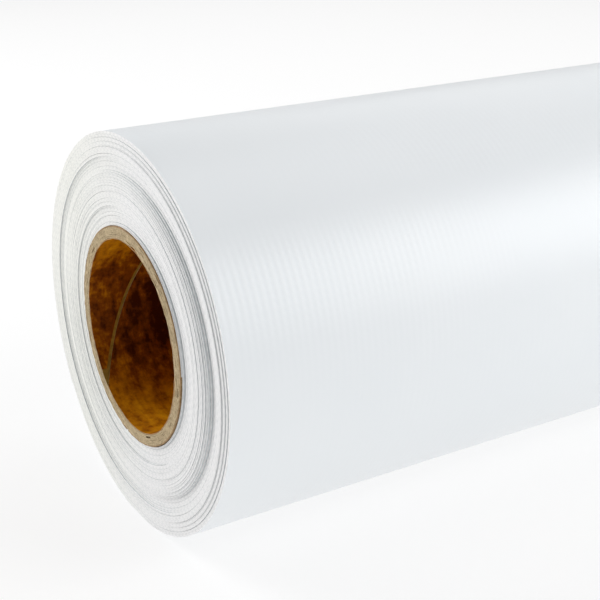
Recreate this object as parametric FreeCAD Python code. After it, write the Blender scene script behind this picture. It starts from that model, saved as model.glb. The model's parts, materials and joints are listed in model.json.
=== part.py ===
"""A roll of scrim-reinforced sign vinyl on a spiral-wound paper core, in millimetres.

The roll lies on its side. Its axis runs along X, +Z is up, and the origin is under the middle of the roll on the
surface that it rests on. An angle round the roll is counted in degrees from the top, towards -Y, so that 90 is
the front, 180 the bottom and 270 the back.
"""
import FreeCAD, Part
import math
import os

os.makedirs("parts", exist_ok=True)

Vector = FreeCAD.Vector
TURN = 360.0

# The web: one long sheet wound in a spiral from the core outwards.
WEB_WIDTH = 610.0
WEB_THICKNESS = 0.36
WINDING_PITCH = 0.375
ROLL_RADIUS = 79.0
TRIM_ALLOWANCE = 0.5
SPIRAL_STEP = 3.0

# The core: plies of paper with a film of glue between them, counted from the bore outwards.
BORE_RADIUS = 38.1
CORE_LENGTH = WEB_WIDTH
LINER_THICKNESS = 0.39
BOARD_PLIES = 6
BOARD_THICKNESS = 0.65
OUTER_PLY_THICKNESS = 0.39
GLUE_FILM = 0.06

# Each board ply is a strip wound as a right-handed helix. Its edges almost meet at a seam.
SEAM_LEAD = 110.0
SEAM_WIDTH = 1.0
FIRST_SEAM_ANGLE = 37.5
SEAM_STAGGER = 150.0
SEAM_OVERCUT = 0.3

# The ends of the roll: groups of turns that have slipped along the core, from the core outwards.
# Each pair is a group's outer radius and how far it has slipped towards +X.
INNER_GROUPS = (
    (44.4, 0.6),
    (50.8, 1.3),
    (54.0, 0.45),
    (57.0, 0.15),
    (60.0, 0.2),
    (61.9, 0.3),
    (63.0, 0.65),
    (63.7, 1.0),
    (64.3, 1.5),
    (66.2, 2.3),
    (68.0, 2.0),
    (69.7, 1.6),
    (71.5, 1.1),
    (73.2, 0.6),
    (75.0, 0.75),
    (76.8, 1.0),
)
OUTER_SLIP = 0.9
DEEPEST_SLIP = max(slip for radius, slip in INNER_GROUPS)

# The roll's own weight presses a narrow flat on its underside.
FLAT_WIDTH = 20.0

# The loose end of the web, three stretches that hinge on each other along the roll.
TAIL_ROOT_ANGLE = 300.0
TAIL_EDGE_ANGLE = 235.0
TAIL_PIECES = 3
TAIL_CLEARANCE = 0.3
HINGE_GAP = 0.15

# The tape that starts the web on the core.
TAPE_WIDTH = 25.0
TAPE_THICKNESS = 0.15
TAPE_INSET = 20.0
TAPE_ANGLE = 55.0
WINDING_SLACK = 0.05

CORE_RADIUS = (
    BORE_RADIUS
    + LINER_THICKNESS
    + BOARD_PLIES * BOARD_THICKNESS
    + OUTER_PLY_THICKNESS
    + (BOARD_PLIES + 1) * GLUE_FILM
)
CORE_START = -(WEB_WIDTH + DEEPEST_SLIP) / 2
OUTER_START = CORE_START + OUTER_SLIP


def web_radius(angle):
    """Radius of the web's outer face, angle degrees along the web from the top. It falls as the web winds in."""
    return ROLL_RADIUS - WINDING_PITCH * (angle - TAIL_ROOT_ANGLE) / TURN


BOTTOM_RADIUS = web_radius(180.0 + TURN)
AXIS_HEIGHT = math.sqrt(BOTTOM_RADIUS**2 - (FLAT_WIDTH / 2) ** 2)


def round_roll(x, radius, angle):
    """The point at this radius and angle round the roll's axis."""
    turned = math.radians(angle)
    return Vector(x, -radius * math.sin(turned), AXIS_HEIGHT + radius * math.cos(turned))


def spiral(x, start, end, depth=0.0):
    """The web's curve from one angle to another, this depth below its outer face."""
    count = max(2, round(abs(end - start) / SPIRAL_STEP)) + 1
    angles = [start + (end - start) * n / (count - 1) for n in range(count)]
    curve = Part.BSplineCurve()
    curve.interpolate([round_roll(x, web_radius(a) - depth, a) for a in angles])
    return curve.toShape()


def extruded(edges, length):
    """The solid that a closed outline across the roll makes along the axis."""
    outline = Part.Wire(edges)
    return Part.Face(outline).extrude(Vector(length, 0, 0))


def line(edge_a, edge_b):
    """A straight edge from the end of one edge to the start of the next."""
    return Part.makeLine(edge_a.Vertexes[-1].Point, edge_b.Vertexes[0].Point)


def rod(radius, start, length):
    """A solid cylinder on the roll's axis."""
    return Part.makeCylinder(radius, length, Vector(start, 0, AXIS_HEIGHT), Vector(1, 0, 0))


def tube(inner, outer, start, length):
    """A tube on the roll's axis."""
    return rod(outer, start, length).cut(rod(inner, start, length))


def sector(inner, outer, middle_angle, width, start, length):
    """The part of a tube that is this wide round the roll, measured along its inner face."""
    half = math.degrees(width / inner) / 2
    first, last = middle_angle - half, middle_angle + half
    inside = Part.Arc(*[round_roll(start, inner, a) for a in (first, middle_angle, last)]).toShape()
    outside = Part.Arc(*[round_roll(start, outer, a) for a in (last, middle_angle, first)]).toShape()
    return extruded([inside, line(inside, outside), outside, line(outside, inside)], length)


def seam_gap(inner, outer, angle):
    """The helical gap between the edges of a wound strip, made a turn at a time and joined."""
    half = SEAM_WIDTH / 2
    near = inner - SEAM_OVERCUT
    far = outer + SEAM_OVERCUT
    corners = [Vector(near, 0, -half), Vector(far, 0, -half), Vector(far, 0, half), Vector(near, 0, half)]
    section = Part.makePolygon(corners + corners[:1])
    helix = Part.makeHelix(SEAM_LEAD, SEAM_LEAD, inner, 0)
    one_turn = Part.Wire(helix.Edges).makePipeShell([section], True, True)
    one_turn.rotate(Vector(0, 0, 0), Vector(0, 0, 1), angle)
    one_turn.rotate(Vector(0, 0, 0), Vector(0, 1, 0), 90)
    turns = []
    for number in range(-1, math.ceil(CORE_LENGTH / SEAM_LEAD) + 1):
        turn = one_turn.copy()
        turn.translate(Vector(CORE_START + number * SEAM_LEAD, 0, AXIS_HEIGHT))
        turns.append(turn)
    return turns[0].multiFuse(turns[1:]).removeSplitter()


def core_inner_liner():
    """Kraft paper whose edges overlap, so that the bore is closed."""
    return tube(BORE_RADIUS, BORE_RADIUS + LINER_THICKNESS, CORE_START, CORE_LENGTH)


def core_board_ply(number):
    """Chipboard ply, counted from 1 at the liner, open along its helical seam."""
    inner = BORE_RADIUS + LINER_THICKNESS + GLUE_FILM
    inner += (number - 1) * (BOARD_THICKNESS + GLUE_FILM)
    outer = inner + BOARD_THICKNESS
    angle = FIRST_SEAM_ANGLE + number * SEAM_STAGGER
    whole = tube(inner, outer, CORE_START, CORE_LENGTH)
    return whole.cut(seam_gap(inner, outer, angle))


def core_outer_ply():
    """Kraft paper round the outside of the core, with overlapping edges like the liner's."""
    return tube(CORE_RADIUS - OUTER_PLY_THICKNESS, CORE_RADIUS, CORE_START, CORE_LENGTH)


def start_tape(clearance=0.0):
    """Double-sided tape between the core and the first turn, or the room for it where clearance is given."""
    return sector(
        CORE_RADIUS + WINDING_SLACK / 2,
        CORE_RADIUS + WINDING_SLACK / 2 + TAPE_THICKNESS + clearance,
        TAPE_ANGLE,
        TAPE_WIDTH + 2 * clearance,
        CORE_START + TAPE_INSET - clearance,
        CORE_LENGTH - 2 * TAPE_INSET + 2 * clearance,
    )


def wound_turns():
    """All the turns as a ring round the core, with its ends stepped group by group."""
    groups = INNER_GROUPS + ((ROLL_RADIUS + TRIM_ALLOWANCE, OUTER_SLIP),)
    start_side = []
    end_side = []
    inner = CORE_RADIUS + WINDING_SLACK
    for outer, slip in groups:
        start = CORE_START + slip
        for radius in (inner, outer):
            start_side.append(Vector(start, 0, AXIS_HEIGHT + radius))
            end_side.append(Vector(start + WEB_WIDTH, 0, AXIS_HEIGHT + radius))
        inner = outer
    outline = start_side + end_side[::-1]
    face = Part.Face(Part.makePolygon(outline + outline[:1]))
    return face.revolve(Vector(0, 0, AXIS_HEIGHT), Vector(1, 0, 0), TURN)


def outer_turn_outline(x):
    """Once round the outermost turn, from the tail's root to the tail's root, set in a little under the tail."""
    free_edge = TAIL_EDGE_ANGLE + TURN
    exposed = spiral(x, TAIL_ROOT_ANGLE, free_edge)
    covered = spiral(x, free_edge, TAIL_ROOT_ANGLE + TURN, TAIL_CLEARANCE)
    return [exposed, line(exposed, covered), covered, line(covered, exposed)]


def web_roll():
    """The wound turns inside the outermost turn's spiral, with the flat and the room for the tape."""
    length = WEB_WIDTH + 2 * DEEPEST_SLIP
    envelope = extruded(outer_turn_outline(-length / 2), length)
    below = Part.makeBox(length, 2 * ROLL_RADIUS, ROLL_RADIUS, Vector(-length / 2, -ROLL_RADIUS, -ROLL_RADIUS))
    return wound_turns().common(envelope).cut([below, start_tape(WINDING_SLACK)])


def web_tail(number):
    """One stretch of the loose end, counted from 1 at its root."""
    reach = (TAIL_ROOT_ANGLE - TAIL_EDGE_ANGLE) / TAIL_PIECES
    half_gap = math.degrees(HINGE_GAP / 2 / ROLL_RADIUS)
    upper = TAIL_ROOT_ANGLE - (number - 1) * reach - half_gap
    lower = TAIL_ROOT_ANGLE - number * reach + half_gap
    outside = spiral(OUTER_START, upper, lower)
    inside = spiral(OUTER_START, lower, upper, WEB_THICKNESS)
    return extruded([outside, line(outside, inside), inside, line(inside, outside)], WEB_WIDTH)


def save(node, shape):
    """Write one piece to its own file, once it is known to be one sound solid."""
    if len(shape.Solids) != 1 or not shape.isValid():
        raise ValueError(f"{node} is not one sound solid")
    solid = shape.Solids[0]
    solid.exportStep(f"parts/{node}.step")
    box = solid.BoundBox
    print(f"{node}: {solid.Volume:.0f} mm3, x {box.XMin:.2f} to {box.XMax:.2f}, z {box.ZMin:.2f} to {box.ZMax:.2f}")


save("core_inner_liner", core_inner_liner())
for ply in range(1, BOARD_PLIES + 1):
    save(f"core_board_ply_{ply}", core_board_ply(ply))
save("core_outer_ply", core_outer_ply())
save("start_tape", start_tape())
save("web_roll", web_roll())
for piece in range(1, TAIL_PIECES + 1):
    save(f"web_tail_{piece}", web_tail(piece))
    hinge = TAIL_ROOT_ANGLE - (piece - 1) * (TAIL_ROOT_ANGLE - TAIL_EDGE_ANGLE) / TAIL_PIECES
    axis = round_roll(0, web_radius(hinge), hinge)
    print(f"hinge {piece} runs along X through y {axis.y:.4f}, z {axis.z:.4f}")
print(f"roll axis at z {AXIS_HEIGHT:.4f}")
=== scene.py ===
"""The roll of sign vinyl on a white table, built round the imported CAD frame, in metres.

An angle round the roll is in degrees from the top towards -Y, as in the CAD model: 90 is the front, 180 the
bottom and 270 the back. An angle along a wound strip keeps counting past 360 as the strip winds in.
"""
import json
import math

import bpy
import numpy as np
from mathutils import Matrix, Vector


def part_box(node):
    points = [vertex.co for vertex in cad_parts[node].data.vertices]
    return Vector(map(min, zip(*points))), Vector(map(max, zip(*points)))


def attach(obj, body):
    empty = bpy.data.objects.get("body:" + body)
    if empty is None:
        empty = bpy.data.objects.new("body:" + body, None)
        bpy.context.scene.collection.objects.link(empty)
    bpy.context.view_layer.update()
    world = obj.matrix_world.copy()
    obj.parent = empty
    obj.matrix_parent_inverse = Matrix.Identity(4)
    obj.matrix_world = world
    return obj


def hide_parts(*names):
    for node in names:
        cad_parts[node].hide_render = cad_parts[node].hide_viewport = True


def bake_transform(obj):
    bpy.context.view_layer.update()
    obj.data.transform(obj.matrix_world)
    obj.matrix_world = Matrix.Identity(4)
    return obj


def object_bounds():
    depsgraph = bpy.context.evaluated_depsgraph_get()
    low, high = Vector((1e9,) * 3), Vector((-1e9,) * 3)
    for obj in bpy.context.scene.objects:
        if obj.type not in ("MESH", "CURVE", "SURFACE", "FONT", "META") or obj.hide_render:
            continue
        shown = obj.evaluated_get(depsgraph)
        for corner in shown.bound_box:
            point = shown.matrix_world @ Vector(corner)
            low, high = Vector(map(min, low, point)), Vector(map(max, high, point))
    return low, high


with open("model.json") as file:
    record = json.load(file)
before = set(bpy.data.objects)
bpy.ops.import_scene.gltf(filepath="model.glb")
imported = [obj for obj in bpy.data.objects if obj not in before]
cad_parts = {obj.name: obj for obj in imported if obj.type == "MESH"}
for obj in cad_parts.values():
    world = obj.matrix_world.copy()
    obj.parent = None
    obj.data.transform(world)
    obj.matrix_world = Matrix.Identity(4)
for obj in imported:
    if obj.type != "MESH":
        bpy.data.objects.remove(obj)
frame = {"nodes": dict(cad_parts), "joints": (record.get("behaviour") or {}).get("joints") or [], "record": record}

CAD_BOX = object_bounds()
MM = 0.001
TURN = 360.0

# ---------------------------------------------------------------- what the frame says

record = frame["record"]
joints = {joint["name"]: joint for joint in frame["joints"]}
core_bore = next(mount for mount in record["mounts"] if mount["name"] == "core_bore")
liner_low, liner_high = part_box("core_inner_liner")
outer_ply_low, outer_ply_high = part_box("core_outer_ply")
tape_low, tape_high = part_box("start_tape")

AXIS_HEIGHT = core_bore["pos_m"][2]
BORE_RADIUS = core_bore["dims"]["r_mm"] * MM
CORE_RADIUS = (outer_ply_high.y - outer_ply_low.y) / 2
CORE_START = liner_low.x
CORE_END = liner_high.x
WEB_WIDTH = CORE_END - CORE_START
DEEPEST_SLIP = CAD_BOX[1][0] - CORE_END


def angle_and_radius(point):
    """Where a point is round the roll's axis."""
    across, up = -point[1], point[2] - AXIS_HEIGHT
    return math.degrees(math.atan2(across, up)) % TURN, math.hypot(across, up)


HINGE_NAMES = ("tail_lift", "tail_bend_upper", "tail_bend_lower")
HINGES = [angle_and_radius(joints[name]["pos_m"]) for name in HINGE_NAMES]
ROOT_ANGLE, ROOT_RADIUS = HINGES[0]
TAIL_REACH = HINGES[0][0] - HINGES[1][0]
FREE_EDGE_ANGLE = ROOT_ANGLE - len(HINGES) * TAIL_REACH

# ---------------------------------------------------------------- the web

WEB_THICKNESS = 0.36 * MM
WINDING_PITCH = 0.375 * MM
WINDING_SLACK = 0.05 * MM

# Rings of points are this many degrees apart along the web, and closer in its loose end.
ANGLE_STEP = 2.0
TAIL_ANGLE_STEP = 1.0

# The scrim's yarns show through the film: ribs that run round the roll, and picks that run along it.
RIB_PITCH = 2.822 * MM
PICK_PITCH = 3.3 * MM

# How far the turns have slipped towards +X, from the core outwards, as (radius, slip) in millimetres. Turns
# on the back of the roll have slipped by other amounts. Two points close together make a step between two
# groups of turns.
FRONT_SLIP = (
    (43.2, 0.2), (44.4, 0.8), (44.5, 1.5), (50.7, 1.3), (50.8, 0.6), (57.0, 0.05), (57.1, 0.28), (59.9, 0.1),
    (60.0, 0.36), (61.9, 0.24), (62.0, 0.6), (63.5, 0.98), (63.6, 1.7), (64.3, 1.65), (64.4, 2.3), (68.0, 2.0),
    (73.2, 0.3), (73.3, 0.72), (75.4, 0.75), (75.5, 0.98), (76.8, 1.0), (76.9, 1.3), (79.0, 0.7),
)
BACK_SLIP = (
    (43.2, 0.7), (44.6, 0.9), (49.0, 0.8), (50.5, 0.65), (50.6, 0.38), (57.0, 0.2), (60.0, 0.2), (63.8, 0.5),
    (66.5, 0.85), (69.6, 0.62), (69.7, 0.28), (73.0, 0.35), (76.8, 0.5), (79.0, 0.7),
)
LEAST_SLIP = 0.05 * MM

# The slips change smoothly from the front to the back. A higher power keeps the front's slips nearer the
# front.
FRONT_SLIP_ANGLE = 84.0
FRONT_SLIP_POWER = 1.5

# Each turn has a small slip of its own and takes a share of its neighbours'. One turn's values give way to
# the next turn's from the step angle round the roll, over the step window in degrees. The spare turns give
# values beyond the web's two ends.
TURN_JITTER = 0.04 * MM
JITTER_LIMIT = 2
NEIGHBOUR_SHARES = (0.6, 0.6, 0.6)
STEP_ANGLE = 250.0
STEP_WINDOW = 70.0
SPARE_TURNS = 4

# Runs of turns are wound a little tighter than the average, which leaves a narrow gap after each run. There
# is a gap at each step in the slips, at these radii in millimetres, and one after every few turns between
# them: at least the first number of turns and fewer than the second. Counting four turns to a run gives
# runs enough to reach past the outermost turn.
STEP_RADII = (44.45, 50.75, 57.05, 59.95, 61.95, 63.55, 64.35, 73.25, 75.45, 76.85)
RUN_TURNS = (3, 9)
TURNS_PER_RUN = 4
TIGHTNESS = 0.036

# The roll's weight presses its turns flat underneath, but not the turns inside this radius.
FIRM_RADIUS = 60.0 * MM

# The first turns ride over the start tape: how far they stand out, half the bulge's width in degrees, and
# over how many turns it fades.
TAPE_ANGLE = angle_and_radius((tape_low + tape_high) / 2)[0]
TAPE_BULGE = 0.16 * MM
BULGE_HALF_WIDTH = 26.0
BULGE_TURNS = 11

# The wound part of the web is longer than one sheet may be, so it is three pieces that meet at these radii.
# The loose end's first piece starts this many degrees before its root.
OUTER_PIECE_RADIUS = 74.8 * MM
MIDDLE_PIECE_RADIUS = 60.8 * MM
ROOT_OVERLAP = 8.0
SKIN_START = ROOT_ANGLE + ROOT_OVERLAP

# Which material each of a strip's four sides has: its edge towards -X, its outside, its other edge, its
# inside. 0 is for an open face, 1 for a cut edge and 2 for a face that another turn covers.
OPEN_SIDES = (1, 0, 1, 0)
COVERED_SIDES = (1, 2, 1, 2)

SEED = 7
rng = np.random.default_rng(SEED)


def web_radius(angle):
    """Radius of the web's outer face at an angle along the web."""
    return ROOT_RADIUS - WINDING_PITCH * (angle - ROOT_ANGLE) / TURN


def angle_at(radius):
    """The angle along the web where its outer face has this radius."""
    return ROOT_ANGLE + TURN * (ROOT_RADIUS - radius) / WINDING_PITCH


def on_grid(angle):
    """The nearest angle at which the web has a ring of points."""
    return ANGLE_STEP * round(angle / ANGLE_STEP)


# The outermost turn's radius where the roll rests on the table.
BOTTOM_RADIUS = web_radius(180.0 + TURN)
WEB_START_ANGLE = on_grid(angle_at(CORE_RADIUS + WINDING_SLACK + WEB_THICKNESS))

# Turn number n, from the outermost inwards, runs from n - 2 to n - 1 turns past the step angle. Its radius,
# in millimetres, is the one at its middle.
turn_middles = STEP_ANGLE + (np.arange(int(WEB_START_ANGLE / TURN) + SPARE_TURNS) - 1.5) * TURN
turn_radii = web_radius(turn_middles) / MM


def turn_noise():
    """A random number for each turn."""
    return rng.normal(0.0, 1.0, len(turn_radii)).clip(-JITTER_LIMIT, JITTER_LIMIT)


own_slips = turn_noise()
shared_slips = np.convolve(turn_noise(), NEIGHBOUR_SHARES, mode="same")
turn_slips = (own_slips + shared_slips) * TURN_JITTER
run_lengths = rng.integers(*RUN_TURNS, len(turn_radii) // TURNS_PER_RUN)
run_ends = CORE_RADIUS / MM + WINDING_PITCH / MM * np.cumsum(run_lengths)
gap_radii = np.sort(np.concatenate([STEP_RADII, run_ends]))


def smooth(x):
    """0 below 0, 1 above 1, and a smooth rise between them."""
    x = np.clip(x, 0.0, 1.0)
    return x * x * (3 - 2 * x)


def along_turns(values, angle):
    """A value given for each turn, at each angle along the web, with a smooth change where two turns meet."""
    position = (angle - STEP_ANGLE) / TURN + 1
    turn = np.floor(position).astype(int)
    rise = smooth((position - turn) * TURN / STEP_WINDOW)
    return values[turn] * (1 - rise) + values[turn + 1] * rise


def slip_at(angle):
    """How far the web stands towards +X at each angle along it: its group's slip and a little of its own."""
    front = along_turns(np.interp(turn_radii, *np.transpose(FRONT_SLIP)) * MM + turn_slips, angle)
    back = along_turns(np.interp(turn_radii, *np.transpose(BACK_SLIP)) * MM + turn_slips, angle)
    facing = ((1 + np.cos(np.radians(angle - FRONT_SLIP_ANGLE))) / 2) ** FRONT_SLIP_POWER
    return np.clip(back + (front - back) * facing, LEAST_SLIP, DEEPEST_SLIP)


def tightened(angle):
    """How far a turn lies inside its average place, so that the slack gathers in the gaps."""
    run = np.searchsorted(gap_radii, turn_radii)
    run_start = np.concatenate([[CORE_RADIUS / MM], gap_radii])[run]
    return along_turns((turn_radii - run_start) * TIGHTNESS * MM, angle)


def start_bulge(angle):
    """How far the first turns stand out where they ride over the tape that holds the web's leading edge."""
    away = np.abs((angle - TAPE_ANGLE + TURN / 2) % TURN - TURN / 2)
    turns_out = (WEB_START_ANGLE - angle) / TURN
    fade = np.clip(1 - turns_out / BULGE_TURNS, 0, 1)
    return TAPE_BULGE * fade * smooth(2 * (1 - away / BULGE_HALF_WIDTH))


def settled(across, up, radius):
    """Height above the floor, with the turns near the bottom pressed up by the flat."""
    sag = np.sqrt(np.clip(BOTTOM_RADIUS**2 - across**2, 0, None)) - AXIS_HEIGHT
    give = np.clip((radius - FIRM_RADIUS) / (BOTTOM_RADIUS - FIRM_RADIUS), 0, 1)
    pressed = np.where(up < 0, np.clip(sag, 0, None) * give, 0.0)
    return np.maximum(AXIS_HEIGHT + up + pressed, 0.0)


def strip_rings(turned, corners):
    """Rings of points round a wound strip, from each corner's x and radius, with heights from the axis."""
    rings = np.zeros((len(turned), len(corners), 3))
    for number, (x, radius) in enumerate(corners):
        rings[:, number, 0] = x
        rings[:, number, 1] = -radius * np.sin(turned)
        rings[:, number, 2] = radius * np.cos(turned)
    return rings


def rings_to_mesh(name, rings, lengths, slips, side_materials, materials):
    """A closed solid from rings of points one after another along a strip.

    rings is stations x points x 3. lengths is how far along the strip each ring is, and slips how far it has
    slipped along the roll. side_materials says which material each side has, once for the whole strip or for
    each stretch between two rings.
    """
    stations, points = rings.shape[:2]
    index = np.arange(stations * points).reshape(stations, points)
    following = np.roll(index, -1, axis=1)
    sides = np.stack([index[:-1], following[:-1], following[1:], index[1:]], axis=-1).reshape(-1, 4)
    mesh = bpy.data.meshes.new(name)
    faces = sides.tolist() + [index[0].tolist()[::-1], index[-1].tolist()]
    mesh.from_pydata(rings.reshape(-1, 3).tolist(), [], faces)
    for material in materials:
        mesh.materials.append(material)
    side_materials = np.broadcast_to(side_materials, (stations - 1, points))
    which = side_materials.ravel().tolist() + [int(side_materials[-1, -1])] * 2
    mesh.polygons.foreach_set("material_index", which)
    mesh.polygons.foreach_set("use_smooth", [True] * len(sides) + [False] * 2)
    across = rings[..., 0] - np.reshape(slips, (-1, 1))
    along = np.broadcast_to(np.reshape(lengths, (-1, 1)), across.shape)
    flat_uv = np.stack([along, across], axis=-1).reshape(-1, 2)
    layer = mesh.uv_layers.new(name="strip")
    corner = np.zeros(len(mesh.loops), np.int32)
    mesh.loops.foreach_get("vertex_index", corner)
    layer.data.foreach_set("uv", flat_uv[corner].ravel())
    edges = np.zeros(len(mesh.edges) * 2, np.int32)
    mesh.edges.foreach_get("vertices", edges)
    edges = edges.reshape(-1, 2)
    lengthwise = np.abs(edges[:, 0] - edges[:, 1]) == points
    sharp = mesh.attributes.new("sharp_edge", "BOOLEAN", "EDGE")
    sharp.data.foreach_set("value", lengthwise)
    mesh.update()
    shape = bpy.data.objects.new(name, mesh)
    bpy.context.scene.collection.objects.link(shape)
    return shape


def strip_length(angle):
    """How far along the web an angle is, counted from its free edge."""
    middle = (web_radius(FREE_EDGE_ANGLE) + web_radius(angle)) / 2
    return np.radians(angle - FREE_EDGE_ANGLE) * middle


def web_piece(name, first, last, materials, step=ANGLE_STEP):
    """The web from one angle along it to a larger one, as a closed strip of its real thickness."""
    angle = np.linspace(last, first, round((last - first) / step) + 1)
    outside = web_radius(angle) - tightened(angle) + start_bulge(angle)
    inside = outside - WEB_THICKNESS
    slip = slip_at(angle)
    start, end = CORE_START + slip, CORE_END + slip
    corners = ((start, inside), (start, outside), (end, outside), (end, inside))
    rings = strip_rings(np.radians(angle), corners)
    radii = np.stack([radius for x, radius in corners], axis=1)
    rings[..., 2] = settled(rings[..., 1], rings[..., 2], radii)
    covered = angle[1:] > ROOT_ANGLE + TURN
    side_materials = np.where(covered[:, None], COVERED_SIDES, OPEN_SIDES)
    return rings_to_mesh(name, rings, strip_length(angle), slip, side_materials, materials)


# ---------------------------------------------------------------- the core's plies

# Each ply is a strip wound as a helix with this lead. Its edges meet at a seam with a gap, which starts the
# stagger in degrees further round than the seam of the ply inside it.
BOARD_PLIES = 6
SEAM_LEAD = 110.0 * MM
LINER_SEAM_ANGLE = 217.5
SEAM_STAGGER = 150.0
LINER_SEAM_GAP = 1.5 * MM
BOARD_SEAM_GAP = 0.8 * MM
BUTTED_SEAM_GAP = 0.1 * MM
GLUE_FILM = 0.06 * MM

# The saw leaves the paper's ends ragged, and the inner rim wanders in and out by a share of it.
END_RAGGED = 0.18 * MM
RAGGED_SMOOTHING = (0.25, 0.5, 0.25)
RIM_SHARE = 0.6


def core_ply(name, inner, outer, seam_angle, gap, materials):
    """A strip of paper wound as a right-handed helix, cut off square at both ends of the core."""
    turns = WEB_WIDTH / SEAM_LEAD
    angle = np.arange(-TURN, turns * TURN, ANGLE_STEP)[::-1]
    low = CORE_START + angle / TURN * SEAM_LEAD
    high = low + SEAM_LEAD - gap
    turned = np.radians(angle + seam_angle)
    noise = rng.normal(0.0, 1.0, len(angle))
    noise = np.convolve(noise, RAGGED_SMOOTHING, mode="same").clip(-1, 1) * END_RAGGED
    start_cut = CORE_START + np.abs(noise)
    end_cut = CORE_END - np.abs(noise)
    low = np.clip(low, start_cut, end_cut)
    high = np.clip(high, start_cut, end_cut)
    kept = high - low > gap
    turned, low, high, noise = turned[kept], low[kept], high[kept], noise[kept]
    corners = ((low, inner + noise * RIM_SHARE), (low, outer), (high, outer), (high, inner))
    rings = strip_rings(turned, corners)
    rings[..., 2] += AXIS_HEIGHT
    lengths = turned * (inner + outer) / 2
    return rings_to_mesh(name, rings, lengths, 0.0, OPEN_SIDES, materials)


# ---------------------------------------------------------------- materials


class Nodes:
    """A material's node tree, with short ways to add and join nodes."""

    def __init__(self, name):
        self.material = bpy.data.materials.new(name)
        self.material.use_nodes = True
        self.tree = self.material.node_tree
        self.shader = self.tree.nodes["Principled BSDF"]

    def add(self, kind, inputs=None, **settings):
        """A new node, with sockets or plain values for its inputs."""
        node = self.tree.nodes.new(kind)
        for key, value in settings.items():
            setattr(node, key, value)
        for key, value in (inputs or {}).items():
            if isinstance(value, bpy.types.NodeSocket):
                self.tree.links.new(value, node.inputs[key])
            else:
                node.inputs[key].default_value = value
        return node

    def math(self, operation, a, b=0.0):
        return self.add("ShaderNodeMath", {0: a, 1: b}, operation=operation).outputs[0]

    def noise(self, vector, scale, detail=2.0, roughness=0.5):
        inputs = {"Vector": vector, "Scale": scale, "Detail": detail, "Roughness": roughness}
        return self.add("ShaderNodeTexNoise", inputs).outputs["Fac"]

    def ramp(self, value, *stops):
        """A colour for each value, from stops that are a position and a colour."""
        node = self.add("ShaderNodeValToRGB", {"Fac": value})
        node.color_ramp.elements[0].position = stops[0][0]
        node.color_ramp.elements[0].color = (*stops[0][1], 1)
        node.color_ramp.elements[1].position = stops[-1][0]
        node.color_ramp.elements[1].color = (*stops[-1][1], 1)
        for position, colour in stops[1:-1]:
            node.color_ramp.elements.new(position).color = (*colour, 1)
        return node.outputs["Color"]

    def span(self, value, low, high, to_low=0.0, to_high=1.0):
        """The value taken from one range to another, and held at its ends."""
        inputs = {"Value": value, "From Min": low, "From Max": high, "To Min": to_low, "To Max": to_high}
        return self.add("ShaderNodeMapRange", inputs).outputs["Result"]

    def mix(self, share, a, b, blend="MIX"):
        """Two colours mixed; 0, 6 and 7 are the colour mix's own factor and colours."""
        node = self.add("ShaderNodeMix", data_type="RGBA", blend_type=blend)
        for socket, value in ((node.inputs[0], share), (node.inputs[6], a), (node.inputs[7], b)):
            if isinstance(value, bpy.types.NodeSocket):
                self.tree.links.new(value, socket)
            else:
                socket.default_value = value
        return node.outputs[2]

    def bump(self, height, strength, distance, normal=None):
        inputs = {"Height": height, "Strength": strength, "Distance": distance}
        if normal is not None:
            inputs["Normal"] = normal
        return self.add("ShaderNodeBump", inputs).outputs["Normal"]

    def set(self, **inputs):
        """Join sockets to the shader's inputs, and set plain values on its own sockets."""
        for key, value in inputs.items():
            name = key.replace("_", " ")
            if isinstance(value, bpy.types.NodeSocket):
                self.tree.links.new(value, self.shader.inputs[name])
            else:
                self.shader.inputs[name].default_value = value


def strip_position(nodes):
    """Distance along the strip and across it, in metres."""
    uv = nodes.add("ShaderNodeUVMap", uv_map="strip").outputs["UV"]
    parts = nodes.add("ShaderNodeSeparateXYZ", {"Vector": uv})
    return parts.outputs["X"], parts.outputs["Y"]


def yarn_wave(nodes, position, pitch):
    """A rounded ridge at each yarn, 1 on the yarn and 0 between two yarns."""
    phase = nodes.math("MULTIPLY", position, 2 * math.pi / pitch)
    wave = nodes.math("COSINE", phase)
    return nodes.span(wave, -1.0, 1.0)


# How deep the film's long waves are, and the relief of the yarns under it, which shows far more in its
# gloss than in its shade. The ribs count in full in that relief, and the picks and the unevenness by their
# shares.
FILM_WAVES = 0.05 * MM
FILM_RELIEF = 0.004 * MM
GLOSS_RELIEF = 0.095 * MM
PICK_SHARE = 0.5
UNEVEN_SHARE = 0.4


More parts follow.
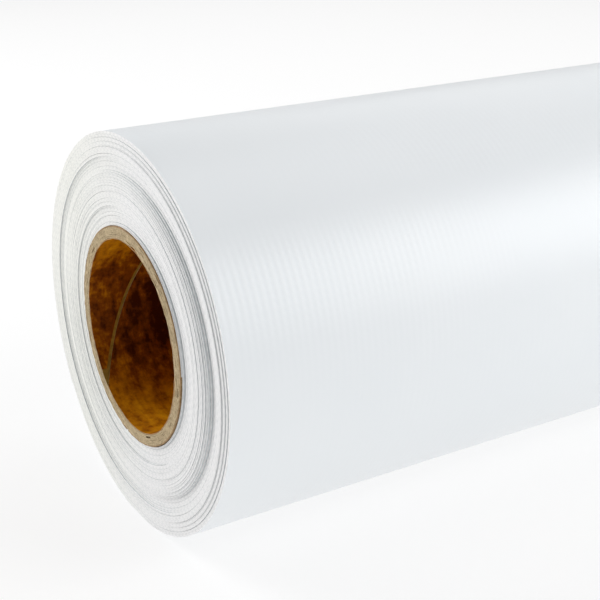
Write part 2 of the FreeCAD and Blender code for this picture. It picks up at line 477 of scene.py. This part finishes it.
def vinyl_face():
    """White PVC film, satin, with the scrim's yarns showing through as fine ribs in its gloss."""
    nodes = Nodes("white_vinyl")
    place = nodes.add("ShaderNodeTexCoord").outputs["Object"]
    along, across = strip_position(nodes)
    ribs = yarn_wave(nodes, across, RIB_PITCH)
    picks = yarn_wave(nodes, along, PICK_PITCH)
    uneven = nodes.noise(place, scale=900.0, detail=3.0)
    patch = nodes.noise(place, scale=60.0, detail=3.0)
    soft = nodes.noise(place, scale=14.0, detail=3.0)
    pull = nodes.span(patch, 0.3, 0.7, to_low=0.6, to_high=1.2)
    crossed = nodes.math("MULTIPLY", ribs, nodes.span(picks, 0.0, 1.0, to_low=1.0, to_high=0.55))
    woven = nodes.math("ADD", crossed, nodes.math("MULTIPLY", picks, PICK_SHARE))
    weave = nodes.math("MULTIPLY", woven, pull)
    height = nodes.math("ADD", weave, nodes.math("MULTIPLY", uneven, UNEVEN_SHARE))
    waves = nodes.bump(soft, strength=1.0, distance=FILM_WAVES)
    film = nodes.bump(height, strength=1.0, distance=FILM_RELIEF, normal=waves)
    gloss = nodes.bump(height, strength=1.0, distance=GLOSS_RELIEF, normal=waves)
    colour = nodes.ramp(soft, (0.3, (0.806, 0.838, 0.862)), (0.7, (0.826, 0.854, 0.874)))
    rough = nodes.span(uneven, 0.3, 0.7, to_low=0.42, to_high=0.50)
    nodes.set(Base_Color=colour, Roughness=rough, Normal=film, IOR=1.5, Specular_IOR_Level=0.15)
    nodes.set(Coat_Weight=0.85, Coat_Roughness=0.36, Coat_IOR=1.5, Coat_Normal=gloss)
    return nodes.material


def vinyl_margin():
    """The web's face where slipped turns uncover it: matt and dusty, painted greyer for shade between turns."""
    nodes = Nodes("dusty_vinyl")
    place = nodes.add("ShaderNodeTexCoord").outputs["Object"]
    dust = nodes.noise(place, scale=420.0, detail=4.0)
    # Painted shade: both ends of the ramp are greyer than the open face, for the shade in the gaps between turns;
    # the noise adds dust.
    colour = nodes.ramp(dust, (0.3, (0.60, 0.63, 0.64)), (0.65, (0.71, 0.74, 0.75)))
    normal = nodes.bump(dust, strength=0.5, distance=0.02 * MM)
    nodes.set(Base_Color=colour, Roughness=0.7, Normal=normal, IOR=1.5)
    return nodes.material


# A warm yellow tint, painted in for warm light falling on the back, sets in on the cut edges between these two
# places from the axis towards +Y, in roll radii. The yarns' share is how much of the edge's tone comes from the
# cut yarns. The rest comes from grime.
WARM_LIGHT_FROM = -0.1
WARM_LIGHT_TO = 0.6
WARM_LIGHT_TINT = (0.99, 0.995, 0.945, 1)
YARN_SHARE = 0.35


def vinyl_edge():
    """The slit edge of the web: two white films with cut yarns between them, tinted warmer at the back as painted
    warm light.
    """
    nodes = Nodes("cut_edge")
    place = nodes.add("ShaderNodeTexCoord").outputs["Object"]
    along = strip_position(nodes)[0]
    yarns = yarn_wave(nodes, along, PICK_PITCH)
    grime = nodes.noise(place, scale=260.0, detail=4.0, roughness=0.6)
    yarn_tone = nodes.math("MULTIPLY", yarns, YARN_SHARE)
    tone = nodes.math("ADD", yarn_tone, nodes.math("MULTIPLY", grime, 1 - YARN_SHARE))
    colour = nodes.ramp(tone, (0.25, (0.805, 0.807, 0.808)), (0.6, (0.905, 0.899, 0.896)))
    # Painted warm light: the edge's colour is tinted yellower towards +Y, the side the warm back light falls on.
    back = nodes.add("ShaderNodeSeparateXYZ", {"Vector": place}).outputs["Y"]
    warm_lit = nodes.span(back, WARM_LIGHT_FROM * ROOT_RADIUS, WARM_LIGHT_TO * ROOT_RADIUS)
    colour = nodes.mix(warm_lit, colour, WARM_LIGHT_TINT, "MULTIPLY")
    normal = nodes.bump(grime, strength=0.6, distance=0.05 * MM)
    nodes.set(Base_Color=colour, Roughness=0.62, Normal=normal, IOR=1.45)
    return nodes.material


# The blotches in the bore are longer along the strip than across it, by these two scales. The shares are
# how much the blotches and the fine mottling add to the paper's tone.
BLOTCH_ALONG = 80.0
BLOTCH_ACROSS = 190.0
BLOTCH_SHARE = 0.50
FINE_SHARE = 0.32

# Painted shade in the bore, a darker band where less light reaches deep inside: the angle round the roll of its
# middle, the cosine of how far round it reaches each way, how far in from the core's ends it comes to full
# strength, and its share of that at the ends.
BORE_SHADE_ANGLE = 263.0
BORE_SHADE_REACH = 0.5
BORE_SHADE_DEPTH = 32.0 * MM
BORE_SHADE_AT_END = 0.45
BORE_SHADE_STRENGTH = 0.25


def blotches(nodes):
    """Noise drawn out along the strip, as glue and rollers leave it on wound paper."""
    along, across = strip_position(nodes)
    stretched = {
        "X": nodes.math("MULTIPLY", along, BLOTCH_ALONG),
        "Y": nodes.math("MULTIPLY", across, BLOTCH_ACROSS),
    }
    place = nodes.add("ShaderNodeCombineXYZ", stretched).outputs["Vector"]
    return nodes.noise(place, scale=1.0, detail=5.0, roughness=0.62)


def bore_kraft():
    """Glazed kraft paper lining the bore, mottled brown, with painted shade darkening a band deeper inside."""
    nodes = Nodes("glazed_kraft")
    place = nodes.add("ShaderNodeTexCoord").outputs["Object"]
    blotch = blotches(nodes)
    fine = nodes.noise(place, scale=380.0, detail=4.0, roughness=0.62)
    blotch_tone = nodes.math("MULTIPLY", blotch, BLOTCH_SHARE)
    tone = nodes.math("ADD", blotch_tone, nodes.math("MULTIPLY", fine, FINE_SHARE))
    parts = nodes.add("ShaderNodeSeparateXYZ", {"Vector": place}).outputs
    # Painted shade: a band round the bore, strongest deeper inside, is taken off the paper's tone; soaked is that
    # painted shade.
    turned = math.radians(BORE_SHADE_ANGLE)
    sideways = nodes.math("MULTIPLY", parts["Y"], -math.sin(turned) / BORE_RADIUS)
    above_axis = nodes.math("SUBTRACT", parts["Z"], AXIS_HEIGHT)
    upwards = nodes.math("MULTIPLY", above_axis, math.cos(turned) / BORE_RADIUS)
    facing = nodes.math("ADD", sideways, upwards)
    from_middle = nodes.math("SUBTRACT", parts["X"], (CORE_START + CORE_END) / 2)
    depth = nodes.math("SUBTRACT", WEB_WIDTH / 2, nodes.math("ABSOLUTE", from_middle))
    inward = nodes.span(depth, 0.0, BORE_SHADE_DEPTH)
    shade_with_depth = nodes.span(inward, 0.0, 1.0, to_low=BORE_SHADE_AT_END, to_high=1.0)
    shade_band = nodes.math("MULTIPLY", nodes.span(facing, BORE_SHADE_REACH, 1.0), shade_with_depth)
    soaked = nodes.math("MULTIPLY", shade_band, BORE_SHADE_STRENGTH)
    colour = nodes.ramp(
        nodes.math("SUBTRACT", tone, soaked),
        (0.18, (0.050, 0.006, 0.0004)),
        (0.29, (0.220, 0.053, 0.0006)),
        (0.40, (0.520, 0.190, 0.0014)),
        (0.52, (0.740, 0.325, 0.0030)),
    )
    normal = nodes.bump(fine, strength=0.5, distance=0.15 * MM)
    rough = nodes.span(fine, 0.3, 0.7, to_low=0.30, to_high=0.46)
    nodes.set(Base_Color=colour, Roughness=rough, Normal=normal, Specular_IOR_Level=0.25)
    return nodes.material


def glued_board():
    """The first board ply where it shows through the liner's seam, soaked with glue."""
    nodes = Nodes("glued_board")
    place = nodes.add("ShaderNodeTexCoord").outputs["Object"]
    fine = nodes.noise(place, scale=500.0, detail=4.0, roughness=0.6)
    colour = nodes.ramp(fine, (0.3, (0.24, 0.15, 0.016)), (0.7, (0.42, 0.27, 0.04)))
    nodes.set(Base_Color=colour, Roughness=0.5, Normal=nodes.bump(fine, strength=0.6, distance=0.1 * MM))
    return nodes.material


def chipboard():
    """Grey-brown recycled board with dark specks and short fibres."""
    nodes = Nodes("recycled_board")
    place = nodes.add("ShaderNodeTexCoord").outputs["Object"]
    fibre = nodes.noise(place, scale=900.0, detail=4.0, roughness=0.65)
    specks = nodes.noise(place, scale=1500.0, detail=1.0)
    patch = nodes.noise(place, scale=160.0, detail=3.0)
    base = nodes.ramp(fibre, (0.3, (0.37, 0.275, 0.150)), (0.7, (0.64, 0.510, 0.310)))
    tinted = nodes.ramp(patch, (0.35, (0.85, 0.83, 0.82)), (0.65, (1.0, 1.0, 1.0)))
    dark = nodes.ramp(specks, (0.26, (0.22, 0.18, 0.14)), (0.34, (1.0, 1.0, 1.0)))
    colour = nodes.mix(1.0, nodes.mix(1.0, base, tinted, "MULTIPLY"), dark, "MULTIPLY")
    normal = nodes.bump(fibre, strength=0.8, distance=0.12 * MM)
    nodes.set(Base_Color=colour, Roughness=0.88, Normal=normal)
    return nodes.material


def outer_kraft():
    """Tan kraft paper round the outside of the core."""
    nodes = Nodes("tan_kraft")
    place = nodes.add("ShaderNodeTexCoord").outputs["Object"]
    fibre = nodes.noise(place, scale=700.0, detail=4.0, roughness=0.6)
    colour = nodes.ramp(fibre, (0.3, (0.26, 0.155, 0.066)), (0.7, (0.46, 0.30, 0.15)))
    normal = nodes.bump(fibre, strength=0.6, distance=0.1 * MM)
    nodes.set(Base_Color=colour, Roughness=0.8, Normal=normal)
    return nodes.material


def tape_film():
    """Cloudy adhesive film."""
    nodes = Nodes("tape_film")
    place = nodes.add("ShaderNodeTexCoord").outputs["Object"]
    cloud = nodes.noise(place, scale=200.0, detail=3.0)
    colour = nodes.ramp(cloud, (0.3, (0.62, 0.58, 0.46)), (0.7, (0.72, 0.69, 0.58)))
    nodes.set(Base_Color=colour, Roughness=0.45, Normal=nodes.bump(cloud, strength=0.4, distance=0.05 * MM))
    return nodes.material


# ---------------------------------------------------------------- camera, floor and light

# The camera's place from the middle of the end face, which lies a little inside the core's end: how far
# back, to the side and up, in roll radii. Its yaw and pitch are in degrees, and its lens and sensor in
# millimetres.
END_FACE_INSET = 0.6 * MM
CAMERA_BACK = 2.317
CAMERA_SIDE = 5.285
CAMERA_UP = 2.4185
CAMERA_YAW = 31.88
CAMERA_PITCH = 21.3
CAMERA_LENS = 76.6
CAMERA_SENSOR = 36.0
NEAREST_SEEN = 0.01

# Most of the table's brightness is its own glow, so that it stays white right round the roll. Its half side
# is in metres.
FLOOR_HALF = 12.0
FLOOR_COLOUR = (0.25, 0.25, 0.25, 1)
FLOOR_GLOW = 0.72
WHITE = (1, 1, 1, 1)
WORLD_STRENGTH = 0.25

# Softboxes at one distance round the roll, in metres. Each has its direction from +X towards +Y and its height
# above the horizon, in degrees, then its width and height in metres, and its power in watts. The powers weren't
# chosen by hand: a separate least-squares fit found them.
SOFTBOX_DISTANCE = 1.5
SOFTBOXES = {
    "right_box": (-35, 30, 0.8, 0.8, 6.4),
    "front_box": (-60, 28, 0.7, 1.1, 9.9),
    "front_high": (-78, 50, 1.0, 1.0, 0.4),
    "top_box": (20, 75, 1.0, 1.0, 4.7),
    "back_box": (80, 22, 0.9, 0.8, 1.1),
    "left_box": (135, 24, 0.7, 1.0, 13.4),
    "far_back": (45, 30, 0.9, 0.9, 1.8),
}


def make_camera():
    """The camera, turned from -Y towards +X by its yaw and tilted down by its pitch."""
    camera = bpy.data.objects.new("camera", bpy.data.cameras.new("camera"))
    bpy.context.scene.collection.objects.link(camera)
    away = Vector((-CAMERA_BACK, -CAMERA_SIDE, CAMERA_UP)) * ROOT_RADIUS
    camera.location = Vector((CORE_START + END_FACE_INSET, 0, AXIS_HEIGHT)) + away
    camera.rotation_euler = (math.radians(90 - CAMERA_PITCH), 0, -math.radians(CAMERA_YAW))
    camera.data.lens = CAMERA_LENS
    camera.data.sensor_width = CAMERA_SENSOR
    camera.data.clip_start = NEAREST_SEEN
    bpy.context.scene.camera = camera


def softbox(name, direction, elevation, width, height, power):
    """A large rectangular light aimed at the roll."""
    data = bpy.data.lights.new(name, "AREA")
    data.shape = "RECTANGLE"
    data.size = width
    data.size_y = height
    data.energy = power
    turned, raised = math.radians(direction), math.radians(elevation)
    level = math.cos(raised)
    away = Vector((math.cos(turned) * level, math.sin(turned) * level, math.sin(raised)))
    light = bpy.data.objects.new(name, data)
    light.location = Vector((0, 0, AXIS_HEIGHT)) + away * SOFTBOX_DISTANCE
    light.rotation_euler = away.to_track_quat("Z", "Y").to_euler()
    bpy.context.scene.collection.objects.link(light)


def make_floor():
    """A white table that glows."""
    half = FLOOR_HALF
    corners = [(-half, -half, 0), (half, -half, 0), (half, half, 0), (-half, half, 0)]
    mesh = bpy.data.meshes.new("floor")
    mesh.from_pydata(corners, [], [(0, 1, 2, 3)])
    floor = bpy.data.objects.new("floor", mesh)
    bpy.context.scene.collection.objects.link(floor)
    nodes = Nodes("white_table")
    nodes.set(Base_Color=FLOOR_COLOUR, Roughness=0.9, Emission_Color=WHITE, Emission_Strength=FLOOR_GLOW)
    mesh.materials.append(nodes.material)


def make_light():
    """A dim white world and all the softboxes."""
    world = bpy.data.worlds.new("studio")
    bpy.context.scene.world = world
    world.use_nodes = True
    background = world.node_tree.nodes["Background"]
    background.inputs["Color"].default_value = WHITE
    background.inputs["Strength"].default_value = WORLD_STRENGTH
    for name, settings in SOFTBOXES.items():
        softbox(name, *settings)


# ---------------------------------------------------------------- the pieces

make_camera()
bpy.context.scene.view_settings.view_transform = "Standard"
make_floor()
make_light()

FACE = vinyl_face()
MARGIN = vinyl_margin()
EDGE = vinyl_edge()
KRAFT = bore_kraft()
BOARD = chipboard()
GLUED = glued_board()
OUTER = outer_kraft()

turn_pieces = ("web_outer_turns", "web_middle_turns", "web_inner_turns")
joins = [on_grid(angle_at(radius)) for radius in (OUTER_PIECE_RADIUS, MIDDLE_PIECE_RADIUS)]
cuts = [SKIN_START, *joins, WEB_START_ANGLE]
for name, first, last in zip(turn_pieces, cuts, cuts[1:]):
    piece = web_piece(name, first, last, [FACE, EDGE, MARGIN])
    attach(piece, "roll")
    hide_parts("web_roll")

# The loose end's pieces meet halfway between their hinges, one hinge in each piece. The first piece starts only a
# little way inside the roll.
middles = [ROOT_ANGLE - (number + 0.5) * TAIL_REACH for number in range(len(HINGES) - 1)]
cuts = [SKIN_START, *middles, FREE_EDGE_ANGLE]
for number, (hinge, last, first) in enumerate(zip(HINGES, cuts, cuts[1:]), 1):
    piece = web_piece(f"web_tail_skin_{number}", first, last, [FACE, EDGE], TAIL_ANGLE_STEP)
    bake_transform(piece)
    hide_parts(f"web_tail_{number}")

# Each ply's material slot, the gap at its seam, and the materials of its faces and of its cut edges.
plies = {"core_inner_liner": ("bore_kraft", LINER_SEAM_GAP, [KRAFT, OUTER])}
plies["core_board_ply_1"] = ("chipboard", BOARD_SEAM_GAP, [GLUED, BOARD])
for number in range(2, BOARD_PLIES + 1):
    plies[f"core_board_ply_{number}"] = ("chipboard", BOARD_SEAM_GAP, [BOARD, BOARD])
plies["core_outer_ply"] = ("outer_kraft", BUTTED_SEAM_GAP, [OUTER, OUTER])
inner = BORE_RADIUS
for number, (node, (slot, gap, materials)) in enumerate(plies.items()):
    low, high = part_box(node)
    outer = (high.y - low.y) / 2
    seam = LINER_SEAM_ANGLE + number * SEAM_STAGGER
    piece = core_ply(node + "_paper", inner, outer, seam, gap, materials)
    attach(piece, "roll")
    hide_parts(node)
    inner = outer + GLUE_FILM

tape = frame["nodes"]["start_tape"]
tape.data.materials.clear()
tape.data.materials.append(tape_film())
